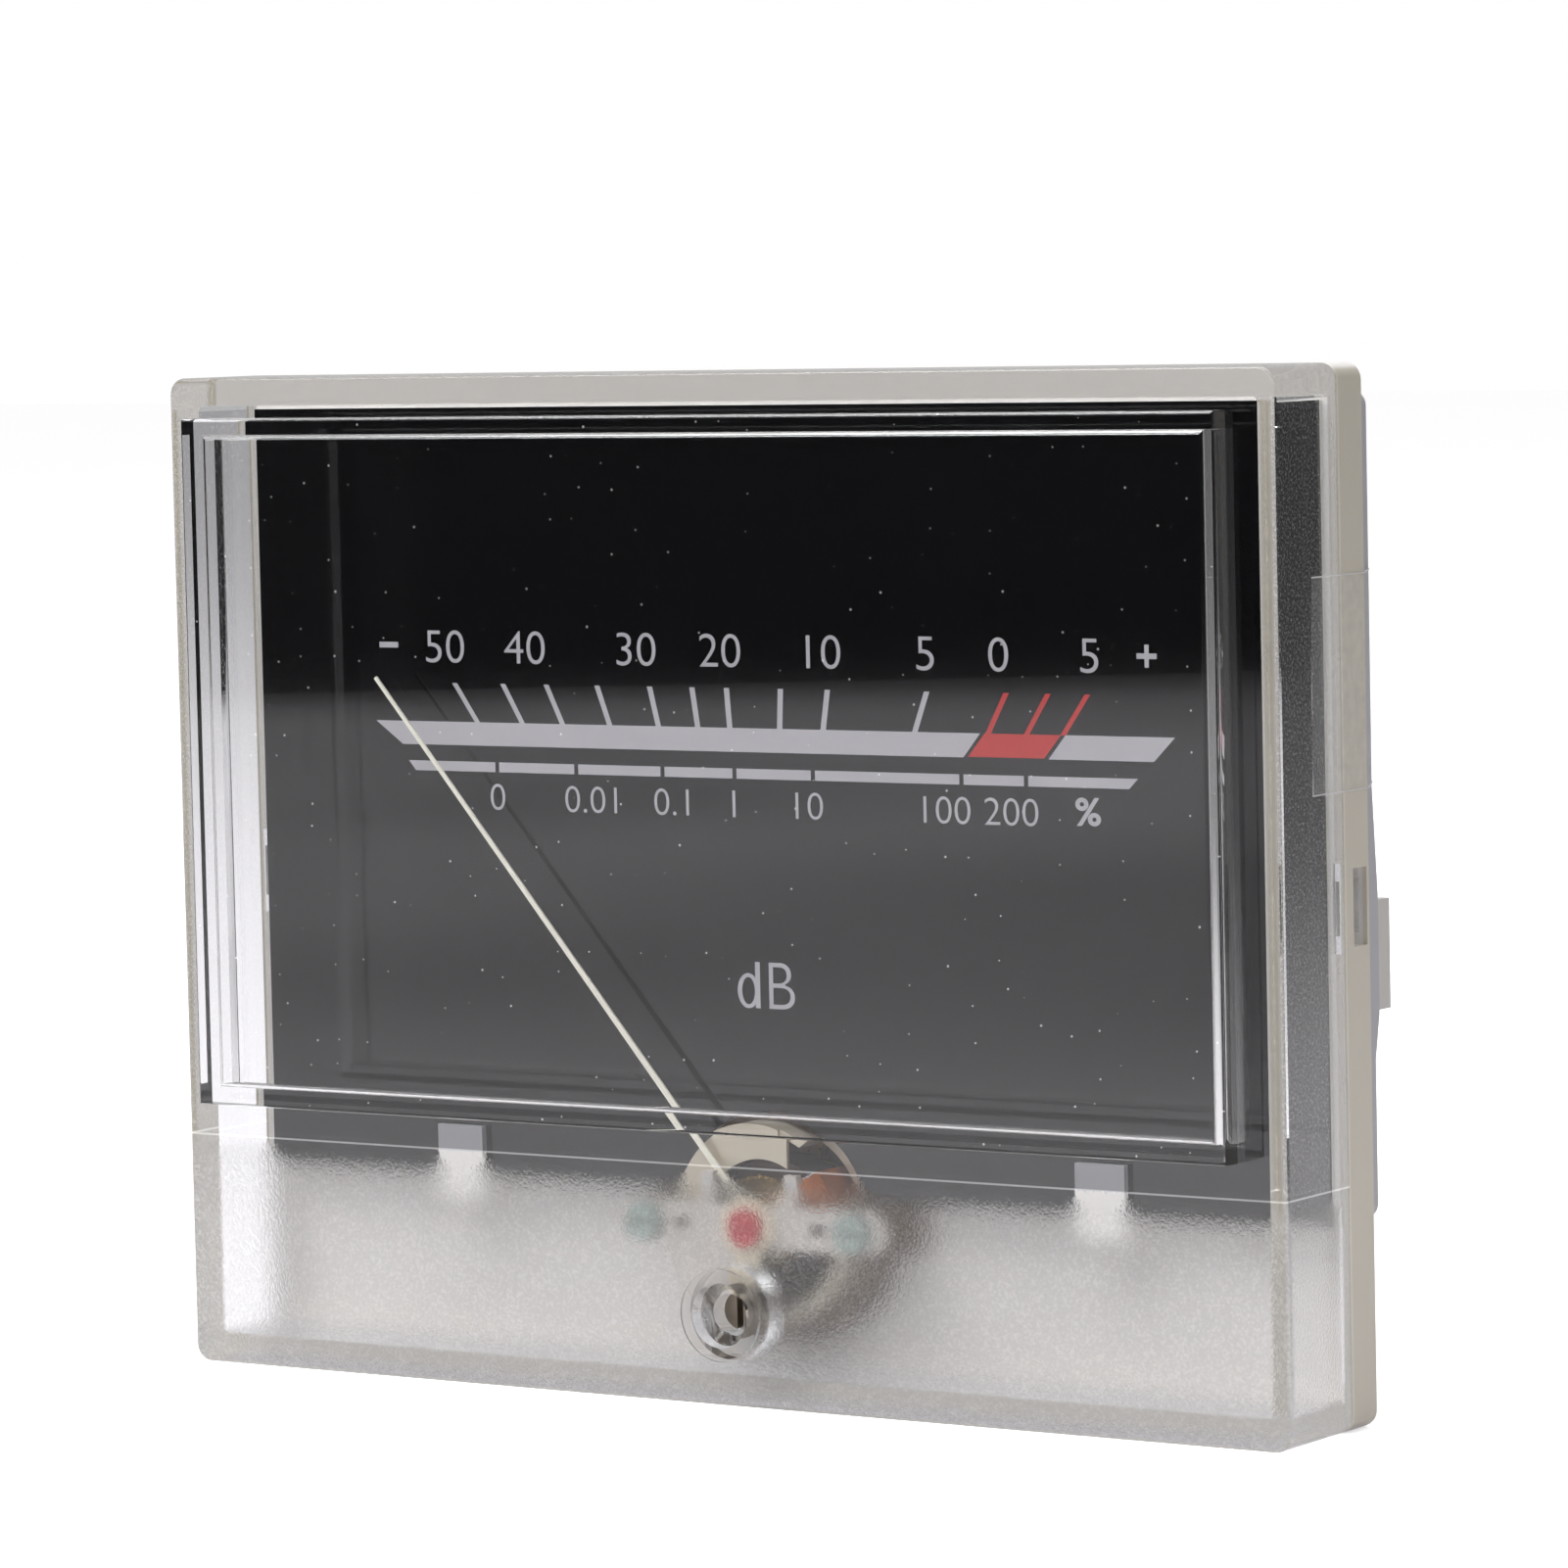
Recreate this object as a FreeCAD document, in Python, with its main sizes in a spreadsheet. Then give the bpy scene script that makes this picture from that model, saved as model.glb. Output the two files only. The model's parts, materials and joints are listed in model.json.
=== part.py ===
# Analog panel meter for audio gear: a clear cover with a raised window, a black
# printed dial, a pivoted moving-coil movement with its pointer, and a lit rear case.
# Frame: X to the right, Y from the front to the back, Z up, millimetres.
# The origin is the middle of the space that the meter stands on, at its foot.
# Depths below count from the front face around the window; middle_depth moves
# each finished piece forward, so that the origin is halfway back.

import FreeCAD
import Part
import math
import os

VALUES = {
    "middle_depth": 7.975,
    "case_width": 90.0,
    "case_height": 70.6,
    "corner_round": 1.2,
    "edge_round": 0.25,
    "inner_round": 0.4,
    "cover_depth": 8.5,
    "side_wall": 1.8,
    "floor_wall": 2.0,
    "front_plate": 1.8,
    "window_width": 84.0,
    "window_low": 19.0,
    "window_tall": 48.8,
    "window_rise": 2.7,
    "window_plate": 1.5,
    "window_wall": 1.2,
    "centre_x": 0.7,
    "pivot_z": 11.85,
    "adjust_z": 6.23,
    "boss_radius": 3.2,
    "boss_rise": 0.3,
    "boss_back": 3.6,
    "bore_radius": 1.35,
    "dish_radius": 2.25,
    "dish_depth": 1.0,
    "dial_front": 7.75,
    "dial_thick": 0.4,
    "diffuser_thick": 0.3,
    "dial_half": 42.8,
    "dial_low": 13.7,
    "dial_high": 68.2,
    "dial_hole": 7.6,
    "housing_back": 11.8,
    "housing_wall": 1.5,
    "housing_floor": 10.3,
    "glow_half": 37.5,
    "glow_low": 21.5,
    "glow_high": 64.0,
    "pocket_high": 15.0,
    "cup_radius": 9.8,
    "cup_bore": 8.7,
    "cup_floor": 15.1,
    "cup_back": 16.1,
    "hook_width": 3.85,
    "hook_high": 17.25,
    "latch_z": 34.8,
    "latch_tall": 5.2,
    "back_half": 43.0,
    "back_low": 13.3,
    "back_high": 68.6,
    "back_rear": 16.1,
    "back_wall": 1.4,
    "hump_rear": 16.7,
    "block_rear": 18.65,
    "block_low": 27.2,
    "block_high": 34.6,
    "screw_x": 40.2,
    "screw_low": 17.6,
    "screw_high": 66.0,
    "board_front": 13.2,
    "board_thick": 1.0,
    "board_half": 37.4,
    "board_low": 22.6,
    "board_high": 66.0,
    "post_x": 34.0,
    "post_low": 26.0,
    "post_high": 62.0,
    "pin_x": 39.5,
    "pin_size": 0.6,
    "pin_pitch": 1.8,
    "base_radius": 8.4,
    "base_front": 8.6,
    "base_floor": 13.9,
    "yoke_radius": 7.1,
    "yoke_bore": 6.2,
    "yoke_front": 6.2,
    "plate_bore": 4.5,
    "yoke_back": 11.5,
    "core_radius": 4.4,
    "core_front": 7.5,
    "holder_front": 10.9,
    "former_half": 4.6,
    "former_skin": 0.25,
    "former_width": 3.0,
    "former_front": 7.2,
    "former_back": 11.8,
    "coil_half": 5.75,
    "coil_width": 2.6,
    "coil_front": 6.3,
    "coil_back": 12.7,
    "shaft_radius": 0.3,
    "tip_radius": 0.2,
    "jewel_hole": 0.22,
    "jewel_radius": 0.5,
    "bridge_front": 4.4,
    "bridge_thick": 0.6,
    "bridge_tall": 3.0,
    "bridge_half": 11.0,
    "pillar_x": 8.57,
    "pillar_radius": 1.4,
    "collar_radius": 1.15,
    "ring_bore": 1.2,
    "ring_radius": 2.1,
    "lever_front": 4.02,
    "lever_thick": 0.35,
    "pin_offset": 0.6,
    "crank_radius": 0.35,
    "needle_front": 5.3,
    "needle_thick": 0.16,
    "needle_length": 48.9,
    "needle_angle": 40.25,
    "coil_angle": 28.0,
    "tape_thick": 0.08,
    "stud_reach": 3.75,
}

LATCH_SLOT_FRONT = 9.66
LATCH_SLOT_BACK = 11.53
LAMP_X = (-29.0, -10.0, 9.0, 28.0)
LAMP_Z = (32.0, 54.0)
SPRING_TURNS = 4
SPRING_PITCH = 0.6
SPRING_WIRE = 0.05

document = FreeCAD.newDocument("panel_meter")
sheet = document.addObject("Spreadsheet::Sheet", "sizes")
for row, (alias, number) in enumerate(VALUES.items(), start=1):
    sheet.set("A%d" % row, alias)
    sheet.set("B%d" % row, str(number))
    sheet.setAlias("B%d" % row, alias)
document.recompute()

BACKWARD = FreeCAD.Rotation(FreeCAD.Vector(1, 0, 0), -90)
NODES = []


def bind(item, field, formula):
    """Ties one field of an object to a formula over the sheet's cells."""
    words = sorted(VALUES, key=len, reverse=True)
    text = str(formula)
    for number, word in enumerate(words):
        text = text.replace(word, "<%d>" % number)
    for number, word in enumerate(words):
        text = text.replace("<%d>" % number, "sizes." + word)
    item.setExpression(field, text)


def place(item, x, y, z):
    bind(item, "Placement.Base.x", x)
    bind(item, "Placement.Base.y", y)
    bind(item, "Placement.Base.z", z)


def block(x0, x1, y0, y1, z0, z1):
    """A box between two values on each axis."""
    item = document.addObject("Part::Box", "block")
    bind(item, "Length", "(%s) - (%s)" % (x1, x0))
    bind(item, "Width", "(%s) - (%s)" % (y1, y0))
    bind(item, "Height", "(%s) - (%s)" % (z1, z0))
    place(item, x0, y0, z0)
    return item


def rod(x, z, radius, y0, y1):
    """A cylinder along Y from y0 back to y1."""
    item = document.addObject("Part::Cylinder", "rod")
    item.Placement = FreeCAD.Placement(FreeCAD.Vector(), BACKWARD)
    bind(item, "Radius", radius)
    bind(item, "Height", "(%s) - (%s)" % (y1, y0))
    place(item, x, y0, z)
    return item


def taper(x, z, front_radius, back_radius, y0, y1):
    """A cone along Y from y0 back to y1."""
    item = document.addObject("Part::Cone", "taper")
    item.Placement = FreeCAD.Placement(FreeCAD.Vector(), BACKWARD)
    bind(item, "Radius1", front_radius)
    bind(item, "Radius2", back_radius)
    bind(item, "Height", "(%s) - (%s)" % (y1, y0))
    place(item, x, y0, z)
    return item


def turned(item, angle):
    """Turns a finished object about the pivot's axis, clockwise from the front."""
    centre = FreeCAD.Vector(VALUES["centre_x"], 0, VALUES["pivot_z"])
    rotation = FreeCAD.Rotation(FreeCAD.Vector(0, 1, 0), angle)
    item.Placement = FreeCAD.Placement(FreeCAD.Vector(), rotation, centre)
    return item


def join(items):
    whole = document.addObject("Part::MultiFuse", "joined")
    whole.Shapes = items
    return whole


def cut(base, tools):
    tool = tools[0] if len(tools) == 1 else join(tools)
    left = document.addObject("Part::Cut", "cut")
    left.Base = base
    left.Tool = tool
    return left


def overlap(items):
    shared = document.addObject("Part::MultiCommon", "shared")
    shared.Shapes = items
    return shared


def group(items):
    together = document.addObject("Part::Compound", "group")
    together.Links = items
    return together


def rounded(item, radius):
    """Rounds the edges of a box that run along Y."""
    document.recompute()
    smooth = document.addObject("Part::Fillet", "rounded")
    smooth.Base = item
    picks = []
    for number, edge in enumerate(item.Shape.Edges, start=1):
        ends = edge.Vertexes[1].Point - edge.Vertexes[0].Point
        if abs(ends.x) < 1e-6 and abs(ends.z) < 1e-6:
            picks.append((number, radius, radius))
    smooth.Edges = picks
    return smooth


def softened(item, radius, chosen):
    """Rounds the edges whose points all pass the test."""
    document.recompute()
    smooth = document.addObject("Part::Fillet", "softened")
    smooth.Base = item
    picks = []
    for number, edge in enumerate(item.Shape.Edges, start=1):
        if all(chosen(vertex.Point) for vertex in edge.Vertexes):
            picks.append((number, radius, radius))
    smooth.Edges = picks
    return smooth


def node(item, name):
    """Names the finished sub-part and moves it to the origin; the name is its file's."""
    forward = FreeCAD.Placement(
        FreeCAD.Vector(0, -VALUES["middle_depth"], 0), FreeCAD.Rotation(),
    )
    item.Placement = forward.multiply(item.Placement)
    item.Label = name
    NODES.append(item)


def front_cover():
    half = "case_width / 2"
    shell = rounded(
        block("-" + half, half, "0", "cover_depth", "0", "case_height"),
        VALUES["corner_round"],
    )
    shell = softened(shell, VALUES["edge_round"], lambda point: point.y < 0.01)
    window = softened(
        block(
            "-window_width / 2", "window_width / 2", "-window_rise", "front_plate",
            "window_low", "window_low + window_tall",
        ),
        VALUES["edge_round"],
        lambda point: point.y < 0.01 - VALUES["window_rise"],
    )
    boss = rod("centre_x", "adjust_z", "boss_radius", "-boss_rise", "boss_back")
    chamber = block(
        "-%s + side_wall" % half, half + " - side_wall", "front_plate", "cover_depth",
        "floor_wall", "case_height - floor_wall",
    )
    recess = block(
        "-window_width / 2 + window_wall", "window_width / 2 - window_wall",
        "window_plate - window_rise", "front_plate + 0.1",
        "window_low + window_wall", "window_low + window_tall - window_wall",
    )
    recess_front = VALUES["window_plate"] - VALUES["window_rise"]
    recess = softened(
        recess, VALUES["inner_round"], lambda point: point.y < recess_front + 0.01,
    )
    chamber = rounded(chamber, VALUES["inner_round"])
    hollow = cut(join([shell, window]), [chamber, recess])
    bore = rod("centre_x", "adjust_z", "bore_radius", "-1", "boss_back + 1")
    dish = taper("centre_x", "adjust_z", "dish_radius", "bore_radius", "-boss_rise", "dish_depth")
    tongues = []
    for side in (-1, 1):
        inner = 43.3 * side
        outer = 44.0 * side
        barb = 44.5 * side
        low = "latch_z - 1.8"
        high = "latch_z + 1.8"
        edges = sorted((inner, outer))
        tongues.append(block(edges[0], edges[1], "cover_depth - 0.3", "11.3", low, high))
        edges = sorted((inner, barb))
        tongues.append(block(edges[0], edges[1], "9.9", "11.3", low, high))
    node(cut(join([hollow, boss] + tongues), [bore, dish]), "front_cover")


def zero_adjuster():
    body = rod("centre_x", "adjust_z", "bore_radius - 0.05", "2.3", "boss_back + 0.02")
    flange = rod("centre_x", "adjust_z", "1.9", "boss_back + 0.05", "boss_back + 0.25")
    neck = rod("centre_x", "adjust_z", "bore_radius - 0.05", "boss_back", "boss_back + 0.2")
    crank = rod(
        "centre_x", "adjust_z + pin_offset", "crank_radius", "boss_back + 0.2", "4.65",
    )
    slot = block(
        "centre_x - 0.25", "centre_x + 0.25", "2.2", "3.0", "adjust_z - 2", "adjust_z + 2",
    )
    node(cut(join([body, flange, neck, crank]), [slot]), "zero_adjuster")


def sheet_behind_window(name, front, back):
    """A flat sheet in the cover with a round hole for the movement."""
    plate = block("-dial_half", "dial_half", front, back, "dial_low", "dial_high")
    hole = rod("centre_x", "pivot_z", "dial_hole", front + " - 1", back + " + 1")
    node(cut(plate, [hole]), name)


def rear_housing():
    half = "case_width / 2"
    body = rounded(
        block("-" + half, half, "cover_depth", "housing_back", "0", "case_height"),
        VALUES["corner_round"],
    )
    cup = rod("centre_x", "pivot_z", "cup_radius", "housing_floor", "cup_back")
    hooks = []
    for side in (-1, 1):
        middle = "centre_x + (%s) - hook_width / 2" % (26.4 * side)
        end = "centre_x + (%s) + hook_width / 2" % (26.4 * side)
        hooks.append(block(
            middle, end, "dial_front - 0.6", "housing_floor + 0.2",
            "dial_low - 1.6", "dial_low - 0.2",
        ))
        hooks.append(block(
            middle, end, "dial_front - 0.6", "dial_front - 0.1",
            "dial_low - 1.6", "hook_high",
        ))
    glow = block(
        "-glow_half", "glow_half", "cover_depth - 1", "housing_back + 1",
        "glow_low", "glow_high",
    )
    pocket = block(
        "-%s + housing_wall" % half, half + " - housing_wall", "cover_depth - 1",
        "housing_floor", "floor_wall", "pocket_high",
    )
    well = rod("centre_x", "pivot_z", "cup_bore", "cover_depth - 1", "cup_floor")
    slots = []
    for side in (-1, 1):
        edges = sorted((43.0 * side, 44.2 * side))
        low = "latch_z - 3"
        high = "latch_z + 3"
        slots.append(block(edges[0], edges[1], "cover_depth - 1", "11.6", low, high))
        edges = sorted((44.0 * side, 46.0 * side))
        slots.append(block(
            edges[0], edges[1], LATCH_SLOT_FRONT, LATCH_SLOT_BACK,
            "latch_z - latch_tall / 2", "latch_z + latch_tall / 2",
        ))
    threads = []
    for x in ("-screw_x", "screw_x"):
        for z in ("screw_low", "screw_high"):
            threads.append(rod(x, z, "0.9", "9.2", "housing_back + 1"))
    hollow = cut(join([body, cup]), [glow, pocket, well] + slots + threads)
    node(join([hollow] + hooks), "rear_housing")


def back_cover():
    shell = rounded(
        block("-back_half", "back_half", "housing_back", "back_rear", "back_low", "back_high"),
        1.0,
    )
    hump = document.addObject("Part::Wedge", "hump")
    hump.Xmin, hump.Xmax = 0, 10
    hump.X2min, hump.X2max = 1, 10
    hump.Zmin, hump.Zmax = 0, 18.3
    hump.Z2min, hump.Z2max = 3, 11
    hump.Ymin = 0
    bind(hump, "Ymax", "hump_rear - back_rear")
    place(hump, "back_half - 10", "back_rear", "24")
    chamber = block(
        "-back_half + back_wall", "back_half - back_wall", "housing_back - 1",
        "back_rear - back_wall", "back_low + back_wall", "back_high - back_wall",
    )
    bosses = []
    holes = []
    for x in ("-screw_x", "screw_x"):
        for z in ("screw_low", "screw_high"):
            bosses.append(rod(x, z, "2.3", "housing_back", "back_rear - 0.5"))
            holes.append(rod(x, z, "1.05", "housing_back - 1", "back_rear + 1"))
    for x in ("-post_x", "post_x"):
        for z in ("post_low", "post_high"):
            bosses.append(rod(x, z, "1.8", "board_front + board_thick", "back_rear - 0.5"))
            holes.append(rod(x, z, "0.8", "board_front", "15.4"))
    well = rod("centre_x", "pivot_z", "cup_radius + 0.3", "housing_back - 1", "back_rear + 1")
    way = block(
        "pin_x - 0.9", "pin_x + 0.9", "housing_back", "hump_rear + 1",
        "block_low + 0.5", "block_high - 0.5",
    )
    frame = join([cut(join([shell, hump]), [chamber])] + bosses)
    trimmed = overlap([frame, block(
        "-back_half", "back_half", "housing_back", "hump_rear", "back_low", "back_high",
    )])
    node(cut(trimmed, holes + [well, way]), "back_cover")


def case_screws():
    screws = []
    for x in ("-screw_x", "screw_x"):
        for z in ("screw_low", "screw_high"):
            head = rod(x, z, "1.9", "back_rear", "back_rear + 0.8")
            shank = rod(x, z, "0.9", "9.4", "back_rear + 0.1")
            slot = block(
                x + " - 0.3", x + " + 0.3", "back_rear + 0.4", "back_rear + 2",
                z + " - 2.5", z + " + 2.5",
            )
            screws.append(cut(join([head, shank]), [slot]))
    node(group(screws), "case_screws")


def pin_heights():
    middle = "(block_low + block_high) / 2"
    return ["%s + (%s) * pin_pitch" % (middle, step) for step in (-1.5, -0.5, 0.5, 1.5)]


def lamp_board():
    back = "board_front + board_thick"
    plate = block("-board_half", "board_half", "board_front", back, "board_low", "board_high")
    ear = block(
        "board_half - 1", "pin_x + 1.6", "board_front", back, "block_low - 1.5",
        "block_high + 1.5",
    )
    holes = []
    for x in ("-post_x", "post_x"):
        for z in ("post_low", "post_high"):
            holes.append(rod(x, z, "0.85", "board_front - 1", back + " + 1"))
    for height in pin_heights():
        holes.append(block(
            "pin_x - 0.35", "pin_x + 0.35", "board_front - 1", back + " + 1",
            height + " - 0.35", height + " + 0.35",
        ))
    node(cut(join([plate, ear]), holes), "lamp_board")


def lamps():
    chips = []
    for x in LAMP_X:
        for z in LAMP_Z:
            chips.append(block(
                x - 1.75, x + 1.75, "board_front - 0.9", "board_front", z - 1.4, z + 1.4,
            ))
    node(group(chips), "lamps")


def board_screws():
    screws = []
    for x in ("-post_x", "post_x"):
        for z in ("post_low", "post_high"):
            head = rod(x, z, "1.6", "board_front - 0.6", "board_front")
            shank = rod(x, z, "0.8", "board_front - 0.1", "15.3")
            screws.append(join([head, shank]))
    node(group(screws), "board_screws")


def terminal_block():
    body = block(
        "back_half - 7", "back_half - 0.2", "hump_rear", "block_rear",
        "block_low", "block_high",
    )
    ways = []
    for height in pin_heights():
        ways.append(block(
            "pin_x - 0.6", "pin_x + 0.6", "hump_rear + 0.5", "block_rear + 1",
            height + " - 0.6", height + " + 0.6",
        ))
        ways.append(block(
            "pin_x - pin_size / 2", "pin_x + pin_size / 2", "hump_rear - 1",
            "hump_rear + 1", height + " - pin_size / 2", height + " + pin_size / 2",
        ))
    node(cut(body, ways), "terminal_block")


def terminal_pins():
    pins = []
    for height in pin_heights():
        pins.append(block(
            "pin_x - pin_size / 2", "pin_x + pin_size / 2", "board_front - 0.5",
            "block_rear - 0.4", height + " - pin_size / 2", height + " + pin_size / 2",
        ))
    node(group(pins), "terminal_pins")


def movement_base():
    disc = rod("centre_x", "pivot_z", "base_radius", "base_front", "cup_floor")
    bar = block(
        "centre_x - 10.6", "centre_x + 10.6", "8.8", "housing_floor",
        "pivot_z - 1.9", "pivot_z + 1.9",
    )
    pillars = []
    bores = []
    for x in ("centre_x - pillar_x", "centre_x + pillar_x"):
        pillars.append(rod(x, "pivot_z", "pillar_radius", "bridge_front + bridge_thick", "9"))
        bores.append(rod(x, "pivot_z", "0.7", "bridge_front", "8.4"))
    seat = rod("centre_x", "pivot_z", "yoke_radius", "base_front - 1", "yoke_back")
    hollow = rod("centre_x", "pivot_z", "6.4", "yoke_back - 0.5", "base_floor")
    rear = rod("centre_x", "pivot_z", "0.8", "base_floor - 1", "cup_floor + 1")
    stud = rod("centre_x", "pivot_z + stud_reach", "0.3", "13.0", "base_floor + 0.2")
    body = cut(join([disc, bar] + pillars), bores + [seat, hollow, rear])
    node(join([body, stud]), "movement_base")


def magnet_yoke():
    ring = cut(
        rod("centre_x", "pivot_z", "yoke_radius", "yoke_front", "yoke_back"),
        [rod("centre_x", "pivot_z", "yoke_bore", "yoke_front - 1", "yoke_back + 1")],
    )
    window = block(
        "centre_x + 3", "centre_x + 9", "yoke_front - 1", "9.2", "pivot_z - 2.6",
        "pivot_z + 2.6",
    )
    plate = overlap([
        rod("centre_x", "pivot_z", "yoke_radius", "yoke_front - 0.3", "yoke_front + 0.04"),
        block(
            "centre_x - 7.5", "centre_x + 2.2", "yoke_front - 1", "yoke_front + 1",
            "pivot_z + 0.8", "pivot_z + 7.5",
        ),
    ])
    washer = cut(
        plate, [rod("centre_x", "pivot_z", "plate_bore", "yoke_front - 1", "yoke_front + 1")],
    )
    whole = join([cut(ring, [turned(group([window]), -36)]), washer])
    node(whole, "magnet_yoke")


def core_holder():
    strip = block(
        "centre_x - 7", "centre_x + 7", "holder_front", "yoke_back",
        "pivot_z - 0.8", "pivot_z + 0.8",
    )
    round_bar = overlap([strip, rod("centre_x", "pivot_z", "yoke_bore", "10", "13")])
    node(turned(round_bar, -78), "core_holder")


def magnet_core():
    core = rod("centre_x", "pivot_z", "core_radius", "core_front", "holder_front")
    node(group([core]), "magnet_core")


def frame_loop(half, width, front, back, skin_x, skin_y):
    """A rectangular loop that stands around the core, level before it is turned."""
    outer = block(
        "centre_x - (%s)" % half, "centre_x + (%s)" % half, front, back,
        "pivot_z - (%s) / 2" % width, "pivot_z + (%s) / 2" % width,
    )
    inner = block(
        "centre_x - (%s) + (%s)" % (half, skin_x), "centre_x + (%s) - (%s)" % (half, skin_x),
        "(%s) + (%s)" % (front, skin_y), "(%s) - (%s)" % (back, skin_y),
        "pivot_z - 4", "pivot_z + 4",
    )
    return cut(outer, [inner])


def moving_coil():
    former = frame_loop(
        "former_half + former_skin", "former_width", "former_front - former_skin",
        "former_back + former_skin", "former_skin", "former_skin",
    )
    node(turned(former, -VALUES["coil_angle"]), "coil_former")
    winding = frame_loop(
        "coil_half", "coil_width", "coil_front", "coil_back",
        "coil_half - former_half - former_skin", "former_front - former_skin - coil_front",
    )
    node(turned(winding, -VALUES["coil_angle"]), "coil_winding")


def pivots():
    front_pad = rod("centre_x", "pivot_z", "0.9", "coil_front - 0.2", "coil_front")
    front_shaft = rod("centre_x", "pivot_z", "shaft_radius", "5.1", "coil_front - 0.1")
    front_tip = rod("centre_x", "pivot_z", "tip_radius", "4.9", "5.2")
    node(join([front_pad, front_shaft, front_tip]), "front_pivot")
    rear_pad = rod("centre_x", "pivot_z", "0.9", "coil_back", "coil_back + 0.2")
    rear_shaft = rod("centre_x", "pivot_z", "shaft_radius", "coil_back + 0.1", "13.65")
    rear_tip = rod("centre_x", "pivot_z", "tip_radius", "13.6", "13.95")
    node(join([rear_pad, rear_shaft, rear_tip]), "rear_pivot")


def pointer():
    back = "needle_front + needle_thick"
    hub = rod("centre_x", "pivot_z", "1.1", "5.2", "5.6")
    cross = block(
        "centre_x - 3.3", "centre_x + 3.3", "needle_front", back,
        "pivot_z - 0.25", "pivot_z + 0.25",
    )
    tail = block(
        "centre_x - 0.25", "centre_x + 0.25", "needle_front", back,
        "pivot_z - 2.9", "pivot_z",
    )
    blade = document.addObject("Part::Wedge", "blade")
    blade.Xmin, blade.Xmax = -0.24, 0.24
    blade.Ymin = 0
    blade.Zmin = 0
    blade.Z2min = 0
    blade.X2min, blade.X2max = -0.13, 0.13
    bind(blade, "Ymax", "needle_length")
    bind(blade, "Zmax", "needle_thick")
    bind(blade, "Z2max", "needle_thick")
    upright = FreeCAD.Rotation(FreeCAD.Vector(1, 0, 0), 90)
    blade.Placement = FreeCAD.Placement(FreeCAD.Vector(), upright)
    place(blade, "centre_x", back, "pivot_z")
    bore = rod("centre_x", "pivot_z", "shaft_radius", "4", "7")
    whole = cut(join([hub, cross, tail, blade]), [bore])
    node(turned(whole, -VALUES["needle_angle"]), "pointer")


def balance_weights():
    weights = []
    for x, z in ((-3.0, 0), (3.0, 0), (0, -2.6)):
        spot = ("centre_x + (%s)" % x, "pivot_z + (%s)" % z)
        weights.append(rod(spot[0], spot[1], "0.45", "needle_front + needle_thick", "5.75"))
    node(turned(group(weights), -VALUES["needle_angle"]), "balance_weights")


def front_bridge():
    back = "bridge_front + bridge_thick"
    bar = block(
        "centre_x - bridge_half + 1.5", "centre_x + bridge_half - 1.5", "bridge_front", back,
        "pivot_z - bridge_tall / 2", "pivot_z + bridge_tall / 2",
    )
    parts = [bar]
    for end in ("centre_x - bridge_half + 1.5", "centre_x + bridge_half - 1.5"):
        parts.append(rod(end, "pivot_z", "bridge_tall / 2", "bridge_front", back))
    for side in (-1, 1):
        middle = "centre_x + (%s)" % (3.4 * side)
        parts.append(block(
            middle + " - 0.5", middle + " + 0.5", "bridge_front", back,
            "pivot_z + 1", "pivot_z + 3.7",
        ))
    parts.append(rod("centre_x", "pivot_z", "collar_radius", "4", "bridge_front + 0.1"))
    parts.append(overlap([
        rod("centre_x", "pivot_z", "yoke_radius", "bridge_front", back),
        block(
            "centre_x - 7.5", "centre_x - 0.9", "bridge_front", back,
            "pivot_z - 7.5", "pivot_z - 0.5",
        ),
    ]))
    holes = [rod("centre_x", "pivot_z", "0.8", "3", "6")]
    for side in (-1, 1):
        middle = "centre_x + (%s)" % (5.6 * side)
        holes.append(block(
            middle + " - 0.6", middle + " + 0.6", "4", "6", "pivot_z - 0.4", "pivot_z + 0.4",
        ))
        holes.append(rod("centre_x + (%s) * pillar_x" % side, "pivot_z", "0.75", "4", "6"))
        holes.append(rod("centre_x + (%s)" % (3.4 * side), "pivot_z + 3.1", "0.25", "4", "6"))
    node(cut(join(parts), holes), "front_bridge")


def bridge_screws():
    screws = []
    for x in ("centre_x - pillar_x", "centre_x + pillar_x"):
        head = rod(x, "pivot_z", "1.35", "3.6", "bridge_front")
        shank = rod(x, "pivot_z", "0.7", "bridge_front - 0.1", "8.2")
        slot = block(x + " - 2", x + " + 2", "3", "3.9", "pivot_z - 0.2", "pivot_z + 0.2")
        screws.append(cut(join([head, shank]), [slot]))
    node(group(screws), "bridge_screws")


def jewels():
    head = rod("centre_x", "pivot_z", "1.3", "3.5", "4")
    shank = rod("centre_x", "pivot_z", "0.8", "3.9", "5.1")
    slot = block("centre_x - 2", "centre_x + 2", "3", "3.7", "pivot_z - 0.15", "pivot_z + 0.15")
    seat = rod("centre_x", "pivot_z", "jewel_radius", "4.75", "6")
    node(cut(join([head, shank]), [slot, seat]), "front_jewel_screw")
    stone = rod("centre_x", "pivot_z", "jewel_radius", "4.75", "5.08")
    cup = rod("centre_x", "pivot_z", "jewel_hole", "4.85", "6")
    node(cut(stone, [cup]), "front_jewel")
    screw = rod("centre_x", "pivot_z", "0.8", "13.75", "cup_floor")
    seat = rod("centre_x", "pivot_z", "jewel_radius", "13", "14.15")
    node(cut(screw, [seat]), "rear_jewel_screw")
    stone = rod("centre_x", "pivot_z", "jewel_radius", "13.78", "14.15")
    cup = rod("centre_x", "pivot_z", "jewel_hole", "13", "14.05")
    node(cut(stone, [cup]), "rear_jewel")


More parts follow.
